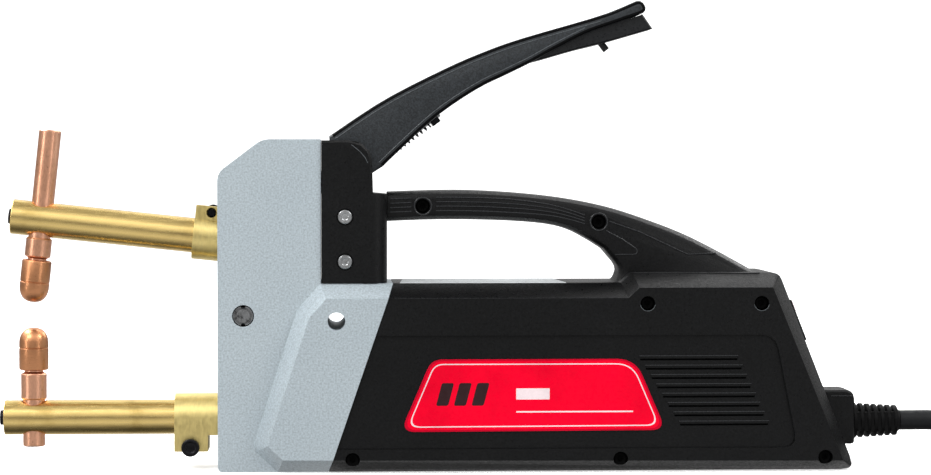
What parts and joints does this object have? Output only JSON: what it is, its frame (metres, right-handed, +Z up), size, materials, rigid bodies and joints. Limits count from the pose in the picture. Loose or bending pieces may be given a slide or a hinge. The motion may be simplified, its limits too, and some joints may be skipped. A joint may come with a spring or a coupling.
{
  "type": "spot welder",
  "caption": "Hand-held resistance spot welder: two horizontal arms with copper electrodes, a long squeeze lever over a loop handle, a boxed transformer and a coiled mains cord.",
  "frame": {"origin": "centre of the footprint of the rigid part, at the level of the flat base it stands on; the cord and what is on it are left out", "axes": "+X from the electrodes towards the cable, +Y across towards the far side, +Z up"},
  "size_m": [0.711, 0.1206, 0.2548],
  "materials": {
    "grey_paint": "fine metallic grey paint",
    "black_plastic": "finely textured",
    "lever_plastic": "satin",
    "brass": "turned",
    "copper": "turned copper",
    "black_steel": "black oxide",
    "steel": "bright",
    "laminated_steel": "stacked sheets",
    "varnished_wire": "varnished",
    "board": "lacquered",
    "label": "smooth film",
    "rubber": "smooth"
  },
  "bodies": {
    "frame": {"front_cover_near": "grey_paint", "front_cover_far": "grey_paint", "housing_near": "black_plastic", "housing_far": "black_plastic", "column_near": "black_plastic", "column_far": "black_plastic", "microswitch": "black_plastic", "cable_gland": "black_plastic", "cable_tie": "black_plastic", "lower_arm_holder": "brass", "lower_arm": "brass", "plug_pin_1": "brass", "plug_pin_2": "brass", "secondary_turn": "copper", "flexible_shunt": "copper", "housing_screw_1": "black_steel", "housing_screw_2": "black_steel", "housing_screw_3": "black_steel", "housing_screw_4": "black_steel", "housing_screw_5": "black_steel", "housing_screw_6": "black_steel", "housing_screw_7": "black_steel", "lower_clamp_screw": "black_steel", "lower_end_screw": "black_steel", "column_screw_near_1": "steel", "column_screw_near_2": "steel", "column_screw_far_1": "steel", "column_screw_far_2": "steel", "support_block": "steel", "arm_pivot_pin": "steel", "lever_pivot_pin": "steel", "timer_potentiometer": "steel", "transformer_core": "laminated_steel", "primary_winding": "varnished_wire", "control_board": "board", "label_near": "label", "label_far": "label", "strain_relief": "rubber", "power_cord": "rubber", "cord_coil": "rubber", "cord_tail": "rubber", "plug_body": "rubber"},
    "upper_arm": {"upper_arm_holder": "brass", "upper_clamp_screw": "black_steel", "upper_arm": "brass", "upper_end_screw": "black_steel", "link_pin_arm": "steel"},
    "upper_electrode": {"upper_electrode": "copper", "upper_cap": "copper"},
    "lower_electrode": {"lower_electrode": "copper", "lower_cap": "copper"},
    "lever": {"lever": "lever_plastic", "lever_insert": "lever_plastic", "link_pin_lever": "steel", "pressure_rod": "steel", "pressure_spring": "black_steel"},
    "pressure_nut": {"pressure_nut": "black_steel"},
    "push_link": {"push_link": "steel"},
    "timer_dial": {"timer_dial": "black_plastic"},
    "switch_button": {"switch_button": "steel"}
  },
  "joints": [
    {"name": "lever_hinge", "type": "hinge", "parent": "frame", "child": "lever", "pos_m": [-0.0555, 0, 0.1713], "axis": [0, 1, 0], "range_deg": [0, 35], "stiffness_Nm_per_rad": 1.2, "springref_deg": -22.92},
    {"name": "upper_arm_hinge", "type": "hinge", "parent": "frame", "child": "upper_arm", "pos_m": [-0.1143, 0, 0.0842], "axis": [0, 1, 0], "range_deg": [-6.8, 0.1]},
    {"name": "link_hinge", "type": "hinge", "parent": "lever", "child": "push_link", "pos_m": [-0.0555, 0, 0.15667], "axis": [0, 1, 0], "range_deg": [-37.2, 0.3]},
    {"name": "pressure_nut_turn", "type": "hinge", "parent": "lever", "child": "pressure_nut", "pos_m": [-0.01194, 0, 0.19192], "axis": [0.7997, 0, 0.6004], "continuous": true},
    {"name": "upper_electrode_slide", "type": "slide", "parent": "upper_arm", "child": "upper_electrode", "axis": [0.1054, 0, 0.9944], "range_m": [-0.006, 0]},
    {"name": "lower_electrode_slide", "type": "slide", "parent": "frame", "child": "lower_electrode", "axis": [0, 0, -1], "range_m": [-0.006, 0]},
    {"name": "timer_dial_turn", "type": "hinge", "parent": "frame", "child": "timer_dial", "pos_m": [0.18696, 0, 0.078], "axis": [-0.9312, 0, -0.3646], "range_deg": [0, 270]},
    {"name": "switch_button_press", "type": "slide", "parent": "frame", "child": "switch_button", "axis": [0, 0, -1], "range_m": [0, 0.002], "stiffness_N_per_m": 400, "springref_m": -0.001}
  ],
  "couplings": [
    {"joint": "upper_arm_hinge", "follows": "lever_hinge", "ratio": -0.19143},
    {"joint": "link_hinge", "follows": "lever_hinge", "ratio": -1.055}
  ]
}
